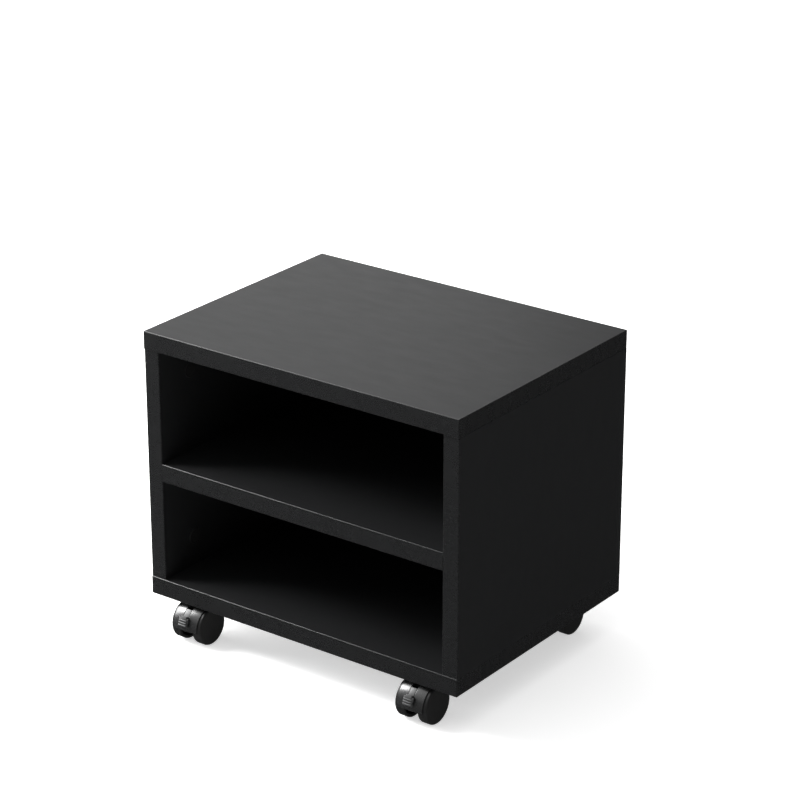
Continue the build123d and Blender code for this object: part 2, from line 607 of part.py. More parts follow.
def cabinet_nodes():
    """Every piece of the cabinet."""
    all_dowels = [place for rows in (SIDE_DOWELS, SHELF_DOWELS) for side in rows for place in rows[side]]
    ends = [place * thread_hole() for place in ALL_SIDE_CAMS]
    ends += [place * dowel_hole() for side in (LEFT, RIGHT) for place in SIDE_DOWELS[side]]
    inserts = [place * insert_hole() for place in CASTERS.values()]
    nodes = {}
    nodes["top_board"], nodes["top_edge_band"] = banded_board(PANEL_HIGH, ends)
    nodes["bottom_board"], nodes["bottom_edge_band"] = banded_board(UNDERSIDE, ends + inserts)
    nodes["left_side_panel"], nodes["left_side_edge_band"] = side_panel(LEFT)
    nodes["right_side_panel"], nodes["right_side_edge_band"] = side_panel(RIGHT)
    nodes["middle_shelf"], nodes["shelf_edge_band"] = shelf()
    nodes["back_panel"] = back_panel()
    nodes["cam_bolts"] = group(ALL_SIDE_CAMS + ALL_SHELF_CAMS, cam_bolt())
    nodes["side_cam_locks"] = group(ALL_SIDE_CAMS, cam_lock(SIDE / 2))
    nodes["side_cam_caps"] = group(ALL_SIDE_CAMS, cam_cap(SIDE / 2))
    nodes["shelf_cam_locks"] = group(ALL_SHELF_CAMS, cam_lock(BOARD / 2))
    nodes["shelf_cam_caps"] = group(ALL_SHELF_CAMS, cam_cap(BOARD / 2))
    nodes["wood_dowels"] = group(all_dowels, dowel())
    nodes["back_panel_screws"] = group(SCREWS, screw())
    nodes["insert_nuts"] = group(CASTERS.values(), insert_nut())
    nodes["caster_stems"] = group(CASTERS.values(), stem())
    nodes["stem_retaining_rings"] = group(CASTERS.values(), retaining_ring())
    return nodes


def caster_nodes(name, place):
    """Every piece of one caster below its stem."""
    braked = name.startswith("front")
    nodes = {
        f"{name}_hood": place * hood(braked),
        f"{name}_axle": place * axle(),
        f"{name}_wheel_left": place * wheel(LEFT),
        f"{name}_wheel_right": place * wheel(RIGHT),
    }
    if braked:
        nodes[f"{name}_brake_lever"] = place * brake_lever()
        nodes[f"{name}_brake_pin"] = place * brake_pin()
    return nodes


def build():
    """All nodes of the stand, by name."""
    nodes = cabinet_nodes()
    for name, place in CASTERS.items():
        nodes.update(caster_nodes(name, place))
    return nodes


os.makedirs("parts", exist_ok=True)
for node, shape in build().items():
    export_step(shape, f"parts/{node}.step")
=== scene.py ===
"""Looks of a two-tier rolling printer stand: black melamine boards on twin-wheel casters.

Metres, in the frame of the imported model. The front is towards -Y and +X is to the right.
"""

import json
from math import cos, hypot, pi, radians, sin, sqrt

import bmesh
import bpy
from mathutils import Matrix, Vector
from mathutils.geometry import convex_hull_2d


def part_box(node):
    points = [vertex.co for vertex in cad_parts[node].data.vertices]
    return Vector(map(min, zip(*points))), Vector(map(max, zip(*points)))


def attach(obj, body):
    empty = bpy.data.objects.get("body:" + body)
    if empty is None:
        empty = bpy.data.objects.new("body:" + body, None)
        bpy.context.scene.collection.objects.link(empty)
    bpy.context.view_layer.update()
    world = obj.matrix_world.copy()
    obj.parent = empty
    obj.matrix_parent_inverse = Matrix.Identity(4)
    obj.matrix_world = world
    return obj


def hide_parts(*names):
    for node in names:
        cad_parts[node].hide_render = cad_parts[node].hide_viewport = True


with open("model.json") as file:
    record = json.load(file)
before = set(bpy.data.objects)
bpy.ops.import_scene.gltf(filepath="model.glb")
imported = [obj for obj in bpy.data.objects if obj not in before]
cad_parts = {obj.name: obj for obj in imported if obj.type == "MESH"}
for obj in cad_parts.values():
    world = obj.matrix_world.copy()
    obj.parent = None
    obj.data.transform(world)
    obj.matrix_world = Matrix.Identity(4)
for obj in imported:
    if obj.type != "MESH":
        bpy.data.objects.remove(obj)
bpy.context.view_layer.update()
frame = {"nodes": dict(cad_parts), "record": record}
MM = 0.001
MICRON = 0.000001
MIX_COLOURS, MIX_COLOUR_OUT = (6, 7), 2  # a Mix node's colour sockets


# ================================================================ shading kit
class Field:
    """One socket of a finish's nodes. Arithmetic on it adds Math nodes to the same tree."""

    def __init__(self, finish, socket):
        self.finish = finish
        self.socket = socket

    def maths(self, operation, *values):
        sockets = dict(enumerate(values))
        return self.finish.node("Math", {"operation": operation}, sockets)

    def __add__(self, other):
        return self.maths("ADD", self, other)

    def __radd__(self, other):
        return self.maths("ADD", other, self)

    def __sub__(self, other):
        return self.maths("SUBTRACT", self, other)

    def __rsub__(self, other):
        return self.maths("SUBTRACT", other, self)

    def __mul__(self, other):
        return self.maths("MULTIPLY", self, other)

    def __rmul__(self, other):
        return self.maths("MULTIPLY", other, self)

    def clipped(self):
        """The same value kept between 0 and 1."""
        return self.maths("MINIMUM", self.maths("MAXIMUM", self, 0.0), 1.0)


class Finish:
    """A named material: a Principled shader with its constants, and the nodes that vary it."""

    def __init__(self, name, **constants):
        self.material = bpy.data.materials.new(name)
        self.material.use_nodes = True
        self.tree = self.material.node_tree
        self.shader = self.tree.nodes["Principled BSDF"]
        for socket, value in constants.items():
            self.shader.inputs[socket.replace("_", " ")].default_value = value

    def node(self, kind, settings=None, sockets=None, output=0):
        """Adds a node: its settings first, then a value or a link for each socket."""
        made = self.tree.nodes.new("ShaderNode" + kind)
        for name, value in (settings or {}).items():
            if name == "stops":
                self.lay_stops(made.color_ramp, value)
            else:
                setattr(made, name, value)
        for name, value in (sockets or {}).items():
            self.feed(made.inputs[name], value)
        return Field(self, made.outputs[output])

    def feed(self, socket, value):
        if isinstance(value, Field):
            self.tree.links.new(value.socket, socket)
        else:
            socket.default_value = value

    @staticmethod
    def lay_stops(ramp, stops):
        """Sets a ramp from (position, grey or colour) pairs."""
        while len(ramp.elements) < len(stops):
            ramp.elements.new(1.0)
        for element, (position, tone) in zip(ramp.elements, stops):
            element.position = position
            element.color = tone if isinstance(tone, tuple) else (tone, tone, tone, 1.0)

    def drive(self, **fields):
        """Links varying values to the shader's own sockets."""
        for socket, value in fields.items():
            self.feed(self.shader.inputs[socket.replace("_", " ")], value)

    # ------------------------------------------------ patterns
    def place(self, stretch=(1, 1, 1), turn=(0, 0, 0)):
        """Object coordinates, stretched and turned."""
        here = self.node("TexCoord", output="Object")
        return self.node("Mapping", None, {"Vector": here, "Rotation": turn, "Scale": stretch})

    def noise(self, size, detail=2.0, rough=0.5, where=None, warp=0.0):
        """Noise from 0 to 1 with lumps of about a size in metres."""
        sockets = {"Scale": 1 / size, "Detail": detail, "Roughness": rough, "Distortion": warp}
        sockets["Vector"] = where or self.place()
        return self.node("TexNoise", None, sockets)

    def pebbles(self, size, where=None):
        """Distance to the middle of the nearest of many small cells, in cell sizes."""
        sockets = {"Vector": where or self.place(), "Scale": 1 / size}
        return self.node("TexVoronoi", {"feature": "F1"}, sockets, "Distance")

    def ramp(self, value, *stops):
        return self.node("ValToRGB", {"stops": stops}, {"Fac": value})

    def edges(self, radius):
        """1 on sharp edges, fading to 0 a radius away from them."""
        rounded = self.node("Bevel", {"samples": 6}, {"Radius": radius}).socket
        flat = self.node("NewGeometry", output="Normal")
        same = self.node(
            "VectorMath", {"operation": "DOT_PRODUCT"}, {0: flat, 1: Field(self, rounded)}, "Value"
        )
        return (1.0 - same).clipped()

    def blend(self, amount, first, second):
        """One colour turning into another as an amount goes from 0 to 1."""
        sockets = {0: amount, MIX_COLOURS[0]: first, MIX_COLOURS[1]: second}
        return self.node("Mix", {"data_type": "RGBA"}, sockets, MIX_COLOUR_OUT)

    def relief(self, *layers):
        """Surface relief from (height 0 to 1, depth in metres) layers."""
        normal = None
        for height, depth in layers:
            sockets = {"Height": height, "Distance": depth, "Strength": 1.0}
            if normal:
                sockets["Normal"] = normal
            normal = self.node("Bump", None, sockets)
        self.drive(Normal=normal)


def grey(level, cool=0.0):
    """A near-neutral colour, slightly cool if asked."""
    return (level * (1 - cool), level, level * (1 + 1.5 * cool), 1.0)


# ================================================================ finishes
def melamine(name, level, gloss, pearl, specular=0.30):
    """Black paper-faced board: a fine pressed pearl, faint clouds, and paler edges that are partly
    rubbed wear and partly a painted highlight.
    """
    f = Finish(name, Specular_IOR_Level=specular)
    clouds = f.noise(60 * MM, 3.0, 0.55)
    grain = f.noise(0.9 * MM, 3.0, 0.6)
    cells = f.pebbles(0.7 * MM)
    edge_wear_and_highlight = f.edges(0.6 * MM) * f.noise(14 * MM, 3.0, 0.6)
    tone = (0.82 + 0.20 * clouds + 0.16 * grain).clipped()
    base = f.blend(tone, grey(level * 0.35), grey(level, 0.03))
    # Edges made paler: partly rubbed wear, partly a painted highlight along them.
    worn_and_highlit = f.blend((edge_wear_and_highlight * 0.9).clipped(), base, grey(level * 5, 0.02))
    smears = f.noise(35 * MM, 4.0, 0.6, f.place((1.0, 2.6, 1.0)))
    rough = gloss + 0.10 * (smears - 0.5) + 0.10 * (grain - 0.5)
    f.drive(Base_Color=worn_and_highlit, Roughness=rough.clipped())
    f.relief((grain, pearl * MICRON), (cells, 0.7 * pearl * MICRON))
    return f.material


def moulded(name, level, gloss, pearl, specular=0.5, scuff=0.5):
    """Black moulded plastic: fine spark texture, flow clouds, hairline scuffs, and paler edges that are
    partly rubbed wear and partly a painted highlight.
    """
    f = Finish(name, Specular_IOR_Level=specular)
    flow = f.noise(9 * MM, 3.0, 0.5, f.place((1, 1, 0.4)))
    spark = f.noise(0.28 * MM, 2.0, 0.6)
    hairs = f.noise(5 * MM, 5.0, 0.7, f.place((1, 9, 9), (0.3, 0.2, 0.5)), 0.6)
    scuffs = f.ramp(hairs, (0.60, 0.0), (0.68, 1.0))
    edge_wear_and_highlight = f.edges(0.35 * MM) * f.noise(3 * MM, 2.0, 0.6)
    base = f.blend(flow, grey(level * 0.8), grey(level * 1.2, 0.02))
    # Edges made paler: partly rubbed wear, partly a painted highlight; the hairline scuffs are real.
    worn_and_highlit = f.blend((edge_wear_and_highlight * 0.8 + scuffs * 0.10 * scuff).clipped(), base, grey(level * 5))
    rough = gloss + 0.08 * (flow - 0.5) + 0.14 * scuff * scuffs
    f.drive(Base_Color=worn_and_highlit, Roughness=rough.clipped())
    f.relief((spark, pearl * MICRON), (flow, 4 * MICRON))
    return f.material


def tyre_nylon(name, level):
    """Wheel nylon: a satin skin with dust in it, a fine spark texture and dusty patches."""
    f = Finish(name, Specular_IOR_Level=0.35)
    dust = f.noise(2.4 * MM, 5.0, 0.65)
    spark = f.noise(0.30 * MM, 2.0, 0.6)
    patches = f.ramp(f.noise(11 * MM, 4.0, 0.6), (0.45, 0.0), (0.75, 1.0))
    edge_wear_and_highlight = f.edges(0.5 * MM) * f.noise(2 * MM, 3.0, 0.7)
    base = f.blend(dust, grey(level * 0.8), grey(level * 1.25))
    # Edges made paler: partly worn nylon, partly a painted highlight along them; the patches are real
    # dust.
    worn_and_highlit = f.blend((edge_wear_and_highlight + patches * dust * 0.12).clipped(), base, grey(level * 4, -0.03))
    rough = 0.40 + 0.12 * (dust - 0.5) + 0.10 * patches
    f.drive(Base_Color=worn_and_highlit, Roughness=rough.clipped())
    f.relief((spark, 6 * MICRON), (dust, 8 * MICRON))
    return f.material


def plated_steel(name, level, gloss):
    """Zinc plate: drawn lines along the part, a faint colour drift, and a painted highlight on its
    edges.
    """
    f = Finish(name, Metallic=1.0)
    drawn = f.noise(1.2 * MM, 3.0, 0.6, f.place((0.06, 1, 1)))
    drift = f.noise(6 * MM, 3.0, 0.5)
    painted_edge_highlight = f.edges(0.3 * MM)
    base = f.blend(drift, (level, level * 0.97, level * 0.90, 1.0), grey(level, 0.02))
    # A painted highlight: every edge brightened.
    with_painted_highlight = f.blend(painted_edge_highlight, base, grey(min(1.0, level * 1.4)))
    rough = gloss + 0.16 * (drawn - 0.5)
    f.drive(Base_Color=with_painted_highlight, Roughness=rough.clipped())
    f.relief((drawn, 6 * MICRON))
    return f.material


def black_oxide(name):
    """Blackened screw steel: dark, slightly brown, with bare metal on its edges."""
    f = Finish(name, Specular_IOR_Level=0.5)
    bloom = f.noise(1.5 * MM, 4.0, 0.6)
    edge_wear_and_highlight = f.edges(0.25 * MM) * f.noise(0.8 * MM, 3.0, 0.6)
    base = f.blend(bloom, (0.012, 0.011, 0.010, 1.0), (0.03, 0.028, 0.026, 1.0))
    worn_and_highlit = f.blend((2.0 * edge_wear_and_highlight).clipped(), base, grey(0.35))
    metal = (0.4 + 1.2 * edge_wear_and_highlight).clipped()
    f.drive(Base_Color=worn_and_highlit, Metallic=metal, Roughness=(0.38 + 0.2 * (bloom - 0.5)).clipped())
    f.relief((bloom, 8 * MICRON))
    return f.material


def beech(name):
    """Bare beech: straight grain along the dowel, dark flecks, fuzzy end grain."""
    f = Finish(name, Specular_IOR_Level=0.25)
    grain = f.noise(1.6 * MM, 4.0, 0.6, f.place((1, 1, 0.08)), 0.8)
    flecks = f.ramp(f.noise(0.7 * MM, 2.0, 0.5, f.place((1, 1, 0.25))), (0.58, 0.0), (0.70, 1.0))
    base = f.blend(grain, (0.42, 0.25, 0.13, 1.0), (0.68, 0.47, 0.28, 1.0))
    flecked = f.blend(flecks * 0.5, base, (0.25, 0.13, 0.06, 1.0))
    f.drive(Base_Color=flecked, Roughness=(0.62 + 0.2 * (grain - 0.5)).clipped())
    f.relief((grain, 30 * MICRON))
    return f.material


FINISHES = {
    "black_board": melamine("black_melamine", 0.0115, 0.44, 5),
    "back_board": melamine("black_back_board", 0.0125, 0.52, 7),
    "edge_band": melamine("black_edge_band", 0.0092, 0.28, 3, 0.65),
    "caster_hood": moulded("gloss_black_nylon", 0.016, 0.26, 1.0, 0.8, 0.2),
    "caster_wheel": tyre_nylon("satin_black_nylon", 0.012),
    "brake_lever": moulded("satin_black_lever", 0.030, 0.42, 1.0, 0.75, 0.1),
    "cap_plastic": moulded("matt_black_cap", 0.0115, 0.46, 4.0, 0.30, 0.2),
    "plated_steel": plated_steel("bright_zinc_plate", 0.62, 0.28),
    "zinc": plated_steel("dull_cast_zinc", 0.45, 0.46),
    "black_screw": black_oxide("black_oxide_steel"),
    "beech": beech("bare_beech"),
}


# ================================================================ mesh kit
def mesh_of(name, points, faces):
    """A mesh from points in metres and faces of point numbers."""
    mesh = bpy.data.meshes.new(name)
    mesh.from_pydata([tuple(p) for p in points], [], faces)
    mesh.update()
    return mesh


def arc(centre, radius, start, end, steps):
    """Points of a circular arc, angles in degrees, from the first direction to the second."""
    angles = [radians(start + (end - start) * k / steps) for k in range(steps + 1)]
    return [(centre[0] + radius * cos(a), centre[1] + radius * sin(a)) for a in angles]


def lathe(outline, steps):
    """A body of revolution about X from (x, radius) points; a radius of 0 makes a pole."""
    points, rings = [], []
    for x, radius in outline:
        count = 1 if radius < MICRON else steps
        rings.append(range(len(points), len(points) + count))
        for k in range(count):
            a = 2 * pi * k / steps
            points.append((x, -radius * sin(a), radius * cos(a)))
    faces = []
    for one, two in zip(rings, rings[1:]):
        for k in range(steps):
            n = (k + 1) % steps
            corners = [one[k % len(one)], one[n % len(one)], two[n % len(two)], two[k % len(two)]]
            faces.append(list(dict.fromkeys(corners)))
    return mesh_of("lathe", points, faces)


def prism(outline, half_width, centre=0.0):
    """A plate: a (y, z) outline given thickness along X."""
    count = len(outline)
    low = [(centre - half_width, y, z) for y, z in outline]
    high = [(centre + half_width, y, z) for y, z in outline]
    sides = [(k, (k + 1) % count, (k + 1) % count + count, k + count) for k in range(count)]
    ends = [tuple(range(count))[::-1], tuple(range(count, 2 * count))]
    return mesh_of("prism", low + high, sides + ends)


def hull(*groups):
    """The outline of the convex hull of several groups of points."""
    points = [Vector(p) for group in groups for p in group]
    return [tuple(points[k]) for k in convex_hull_2d(points)]


def circle(centre, radius, steps=32):
    return arc(centre, radius, 0, 360, steps)[:-1]


def ahead(distance, angle):
    """The (y, z) point at a distance from the axle, at an angle above it seen from the front."""
    return -distance * cos(radians(angle)), distance * sin(radians(angle))


def outwards(mesh):
    """Merges doubles and makes all normals point out."""
    work = bmesh.new()
    work.from_mesh(mesh)
    bmesh.ops.remove_doubles(work, verts=work.verts, dist=2 * MICRON)
    bmesh.ops.recalc_face_normals(work, faces=work.faces)
    work.to_mesh(mesh)
    work.free()
    return mesh


def rounded(mesh, width, segments=3, angle=32.0):
    """The mesh with its sharp edges rounded by a Bevel modifier, applied."""
    outwards(mesh)
    item = bpy.data.objects.new("work", mesh)
    bpy.context.scene.collection.objects.link(item)
    bevel = item.modifiers.new("round", "BEVEL")
    bevel.width, bevel.segments = width, segments
    bevel.limit_method, bevel.angle_limit = "ANGLE", radians(angle)
    bevel.use_clamp_overlap = True
    return applied(item)


def applied(item):
    """The evaluated mesh of an object, which is then removed."""
    bpy.context.view_layer.update()
    graph = bpy.context.evaluated_depsgraph_get()
    made = bpy.data.meshes.new_from_object(item.evaluated_get(graph))
    bpy.data.objects.remove(item)
    return made


def joined(*meshes):
    """Several meshes as one."""
    work = bmesh.new()
    for mesh in meshes:
        work.from_mesh(mesh)
    made = bpy.data.meshes.new("joined")
    work.to_mesh(made)
    work.free()
    return made


def moved(mesh, matrix):
    """A moved copy of a mesh, still the right way out after a mirror."""
    made = mesh.copy()
    made.transform(matrix)
    if matrix.determinant() < 0:
        made.flip_normals()
    return made


def piece(name, mesh, body, slot, *nodes, sharp=30.0):
    """A finished piece: smooth, in its finish, riding on a body and standing for CAD nodes."""
    mesh = mesh.copy()
    mesh.name = name
    mesh.materials.clear()
    mesh.materials.append(FINISHES[slot])
    mesh.polygons.foreach_set("use_smooth", [True] * len(mesh.polygons))
    mesh.set_sharp_from_angle(angle=radians(sharp))
    item = bpy.data.objects.new(name, mesh)
    bpy.context.scene.collection.objects.link(item)
    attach(item, body)
    if nodes:
        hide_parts(*nodes)
    return item


def model_object(name, mesh):
    """An object that only lends its mesh to a pattern."""
    item = bpy.data.objects.new(name, mesh)
    bpy.context.scene.collection.objects.link(item)
    return item


def cut(mesh, cutter):
    """The mesh with another taken out of it, exactly."""
    item, tool = model_object("item", mesh), model_object("tool", cutter)
    boolean = item.modifiers.new("cut", "BOOLEAN")
    boolean.operation, boolean.solver, boolean.object = "DIFFERENCE", "EXACT", tool
    made = applied(item)
    bpy.data.objects.remove(tool)
    return made


# ================================================================ repeating details
class Pattern:
    """A Geometry Nodes tree with named inputs, made for pieces that repeat."""

    def __init__(self, name):
        self.tree = bpy.data.node_groups.new(name, "GeometryNodeTree")
        self.inputs = {}
        self.socket("Geometry", "NodeSocketGeometry")
        self.tree.interface.new_socket("Geometry", in_out="OUTPUT", socket_type="NodeSocketGeometry")
        self.entry = self.tree.nodes.new("NodeGroupInput")
        self.exit = self.tree.nodes.new("NodeGroupOutput")

    def socket(self, name, kind="NodeSocketFloat"):
        """A named input of the tree."""
        self.inputs[name] = self.tree.interface.new_socket(name, in_out="INPUT", socket_type=kind)

    def given(self, name):
        return self.entry.outputs[name]

    def node(self, kind, settings=None, sockets=None, output=0):
        """Adds a node: its settings first, then a value or a link for each socket."""
        made = self.tree.nodes.new(kind)
        for name, value in (settings or {}).items():
            setattr(made, name, value)
        for name, value in (sockets or {}).items():
            if isinstance(value, bpy.types.NodeSocket):
                self.tree.links.new(value, made.inputs[name])
            else:
                made.inputs[name].default_value = value
        return made.outputs[output]

    def close(self, geometry):
        """Ends the tree in Realize Instances and Set Material."""
        real = self.node("GeometryNodeRealizeInstances", None, {"Geometry": geometry})
        sockets = {"Geometry": real, "Material": self.given("Material")}
        self.tree.links.new(self.node("GeometryNodeSetMaterial", None, sockets), self.exit.inputs[0])

    def grown(self, points, normals=None, **values):
        """The mesh that the tree makes at some points."""
        seed = mesh_of("seed", points, [])
        if normals:
            facing = seed.attributes.new("facing", "FLOAT_VECTOR", "POINT")
            facing.data.foreach_set("vector", [v for n in normals for v in n])
        item = bpy.data.objects.new("seed", seed)
        bpy.context.scene.collection.objects.link(item)
        grow = item.modifiers.new("grow", "NODES")
        grow.node_group = self.tree
        for name, value in values.items():
            grow[self.inputs[name].identifier] = value
        return applied(item)


def fastener_pattern():
    """Copies of a model mesh on points, each turned so that its Z follows the point's facing."""
    p = Pattern("fasteners_on_points")
    p.socket("Model", "NodeSocketObject")
    p.socket("Turn")
    p.socket("Material", "NodeSocketMaterial")
    model = p.node("GeometryNodeObjectInfo", None, {"Object": p.given("Model")}, "Geometry")
    facing = p.node("GeometryNodeInputNamedAttribute", {"data_type": "FLOAT_VECTOR"}, {"Name": "facing"})
    aim = p.node("FunctionNodeAlignRotationToVector", {"axis": "Z"}, {"Vector": facing})
    about = p.node("ShaderNodeCombineXYZ", None, {"Z": p.given("Turn")})
    spin = p.node("FunctionNodeEulerToRotation", None, {"Euler": about})
    sockets = {"Rotation": aim, "Rotate By": spin}
    turn = p.node("FunctionNodeRotateRotation", {"rotation_space": "LOCAL"}, sockets)
    sockets = {"Points": p.given("Geometry"), "Instance": model, "Rotation": turn}
    p.close(p.node("GeometryNodeInstanceOnPoints", None, sockets))
    return p


def rib_ring_pattern():
    """Flat ribs standing round the X axis, from one radius to another."""
    p = Pattern("ribs_round_a_hub")
    for name in ("Inner", "Outer", "Depth", "Thickness"):
        p.socket(name)
    p.socket("Count", "NodeSocketInt")
    p.socket("Material", "NodeSocketMaterial")
    ends = {0: p.given("Outer"), 1: p.given("Inner")}
    height = p.node("ShaderNodeMath", {"operation": "SUBTRACT"}, ends)
    both = p.node("ShaderNodeMath", {"operation": "ADD"}, ends)
    middle = p.node("ShaderNodeMath", {"operation": "MULTIPLY"}, {0: both, 1: 0.5})
    sides = {"X": p.given("Depth"), "Y": p.given("Thickness"), "Z": height}
    size = p.node("ShaderNodeCombineXYZ", None, sides)
    sockets = {"Size": size, "Vertices X": 2, "Vertices Y": 2, "Vertices Z": 5}
    box = p.node("GeometryNodeMeshCube", None, sockets)
    out = p.node("ShaderNodeCombineXYZ", None, {"Z": middle})
    rib = p.node("GeometryNodeTransform", None, {"Geometry": box, "Translation": out})
    copies = p.node("GeometryNodeDuplicateElements", {"domain": "INSTANCE"}, {
        "Geometry": p.node("GeometryNodeGeometryToInstance", None, {"Geometry": rib}),
        "Amount": p.given("Count"),
    })
    index = p.node("GeometryNodeInputIndex")
    share = p.node("ShaderNodeMath", {"operation": "DIVIDE"}, {0: index, 1: p.given("Count")})
    angle = p.node("ShaderNodeMath", {"operation": "MULTIPLY"}, {0: share, 1: 2 * pi})
    about = p.node("ShaderNodeCombineXYZ", None, {"X": angle})
    turn = p.node("FunctionNodeEulerToRotation", None, {"Euler": about})
    sockets = {"Instances": copies, "Rotation": turn, "Pivot Point": (0, 0, 0), "Local Space": False}
    ring = p.node("GeometryNodeRotateInstances", None, sockets)
    sockets = {"Points": p.given("Geometry"), "Instance": ring}
    p.close(p.node("GeometryNodeInstanceOnPoints", None, sockets))
    return p


# ================================================================ casters
# A caster is modelled with the middle of its axle at the origin and its front towards -Y.
wheel_low, wheel_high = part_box("front_left_wheel_right")
hood_low, hood_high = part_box("front_left_hood")
hood_middle = (hood_low.x + hood_high.x) / 2
WHEEL_RADIUS = (wheel_high.z - wheel_low.z) / 2
INNER_FACE = wheel_low.x - hood_middle
OUTER_FACE = wheel_high.x - hood_middle
EASE = 0.3 * MM  # small rounding on moulded corners
SHOULDER = 2.1 * MM
HUB = 6.0 * MM
RIM = WHEEL_RADIUS - 2.9 * MM
WEB_FACE = OUTER_FACE - 2.4 * MM
AXLE = 3.0 * MM
HOOD_INNER = WHEEL_RADIUS + 0.7 * MM
HOOD_OUTER = HOOD_INNER + 2.0 * MM
HOOD_HALF = (hood_high.x - hood_low.x) / 2
HOOD_CROWN = 1.3 * MM
HOOD_COLUMNS = (1.0, 0.985, 0.95, 0.86, 0.74, 0.6, 0.45)  # shares of the half width, closer at the rim
SILL_STEPS, SLOT_STEPS, BACK_STEPS = 8, 14, 32  # rows of faces below, along and behind the slot
SHELL_EASE = 0.35 * MM
WEB_HALF, WEB_EDGE, WEB_LOW = 5 * MM, 1 * MM, -6 * MM
BOSS_RADIUS, BOSS_GAP = 6.5 * MM, 0.4 * MM
SOCKET_RADIUS, SOCKET_BORE, SOCKET_LEAD = 7.6 * MM, 4.05 * MM, 3 * MM
HOOD_FRONT, HOOD_REAR = -4.5, 172.0
SLOT_HALF = 3.9 * MM
SLOT_LOW, SLOT_HIGH = 21.0, 69.0
TRAIL = 12.0 * MM
SOCKET_RISE = WHEEL_RADIUS + 2.0 * MM
SOCKET_DEPTH = 24.0 * MM
PIVOT_ANGLE, PIVOT_DISTANCE = 48.0, 12.7 * MM
LUG_HALF, LUG_THICKNESS, LUG_EASE = 3.2 * MM, 2.0 * MM, 0.25 * MM
LEVER_HALF = 3.6 * MM
ARM_DEPTH, ARM_LOW, ARM_HIGH = 2.7 * MM, 33.0, 56.0
NECK_LOW, NECK_HIGH = 27.0, 34.5
TAB_GAP, TAB_THICKNESS, TAB_HALF = 1.7 * MM, 2.2 * MM, 6.1 * MM
TAB_LOW, TAB_HIGH = 9.5, 30.5
RIDGE_ANGLES, RIDGE, RIDGE_SINK = (13.0, 18.5, 24.0), 1.1 * MM, 0.45 * MM
RIDGE_MARGIN, PLATE_SINK = 0.6 * MM, 0.6 * MM
PIN_BOSS, SHOE_BOSS, ARM_EASE, TAB_EASE = 3 * MM, 2.2 * MM, 0.4 * MM, 0.5 * MM
SHOE_BACK, SHOE_UP, SHOE_HALF, SHOE = 6.6 * MM, 5.9 * MM, 10.5 * MM, 1.2 * MM


def pole(x, radius, angle):
    """A point at an angle about the axle, seen from the front: 0 level, 90 straight up."""
    return (x, -radius * cos(radians(angle)), radius * sin(radians(angle)))


def shell_radius(x):
    """The hood's outer radius, barrel crowned."""
    return HOOD_OUTER - HOOD_CROWN * (x / HOOD_HALF) ** 2


def hood_shell(braked):
    """The barrel-crowned shell over both wheels, with the lever's slot in the braked ones."""
    half = HOOD_HALF
    across = [-share * half for share in HOOD_COLUMNS]
    across += [-share * SLOT_HALF for share in (1.15, 1.0, 0.5)]
    across += [0.0] + [-x for x in reversed(across)]
    angles = [HOOD_FRONT]
    stretches = ((HOOD_FRONT, SLOT_LOW, SILL_STEPS), (SLOT_LOW, SLOT_HIGH, SLOT_STEPS))
    stretches += ((SLOT_HIGH, HOOD_REAR, BACK_STEPS),)
    for start, stop, steps in stretches:
        angles += [start + (stop - start) * k / steps for k in range(1, steps + 1)]
    rows, columns = len(angles), len(across)
    outer = [pole(x, shell_radius(x), a) for a in angles for x in across]
    inner = [pole(x, HOOD_INNER, a) for a in angles for x in across]
    count = rows * columns

    def solid(row, column):
        if not (0 <= row < rows - 1 and 0 <= column < columns - 1):
            return False
        middle = (across[column] + across[column + 1]) / 2
        in_slot = 0 <= row - SILL_STEPS < SLOT_STEPS and abs(middle) < SLOT_HALF
        return not (braked and in_slot)

    faces = []
    for row in range(rows - 1):
        for column in range(columns - 1):
            if not solid(row, column):
                continue
            a, b = row * columns + column, row * columns + column + 1
            c, d = b + columns, a + columns
            faces += [(a, b, c, d), (a + count, d + count, c + count, b + count)]
            walls = (((a, b), row - 1, column), ((c, d), row + 1, column))
            walls += (((d, a), row, column - 1), ((b, c), row, column + 1))
            for (p, q), beside_row, beside_column in walls:
                if not solid(beside_row, beside_column):
                    faces.append((q, p, p + count, q + count))
    return rounded(mesh_of("shell", outer + inner, faces), SHELL_EASE)


def hood_mesh(braked):
    """One hood: shell, web, axle boss, stem socket, and the brake's two lugs."""
    wall = (HOOD_INNER + HOOD_OUTER) / 2
    quarter = arc((0, 0), wall, 0, 90, 24)
    outline = [p for p in quarter if p[0] > WEB_EDGE]
    outline += [(WEB_EDGE, WEB_LOW), (sqrt(wall**2 - WEB_LOW**2), WEB_LOW)]
    web = prism([(WEB_EDGE, sqrt(wall**2 - WEB_EDGE**2))] + outline[::-1], WEB_HALF)
    end = INNER_FACE - BOSS_GAP
    boss = lathe([(-end, 0), (-end, BOSS_RADIUS), (end, BOSS_RADIUS), (end, 0)], 48)
    parts = [rounded(web, EASE), rounded(boss, EASE, 2)]
    base, top, floor = SOCKET_RISE - SOCKET_DEPTH, SOCKET_RISE, SOCKET_RISE - SOCKET_LEAD
    outline = [(base, 0), (base, SOCKET_RADIUS), (top, SOCKET_RADIUS)]
    outline += [(top, SOCKET_BORE), (floor, SOCKET_BORE), (floor, 0)]
    socket = rounded(lathe(outline, 56), EASE, 2)
    upright = Matrix.Translation((0, TRAIL, 0)) @ Matrix.Rotation(-pi / 2, 4, "Y")
    parts.append(outwards(moved(socket, upright)))
    if braked:
        end = ahead(HOOD_INNER - LUG_HALF, PIVOT_ANGLE)
        outline = hull(circle((0, 0), LUG_HALF), circle(end, LUG_HALF), [ahead(wall, PIVOT_ANGLE)])
        for side in (-1, 1):
            middle = side * (SLOT_HALF + LUG_THICKNESS / 2)
            parts.append(rounded(prism(outline, LUG_THICKNESS / 2, middle), LUG_EASE, 2))
    return joined(hood_shell(braked), *parts)


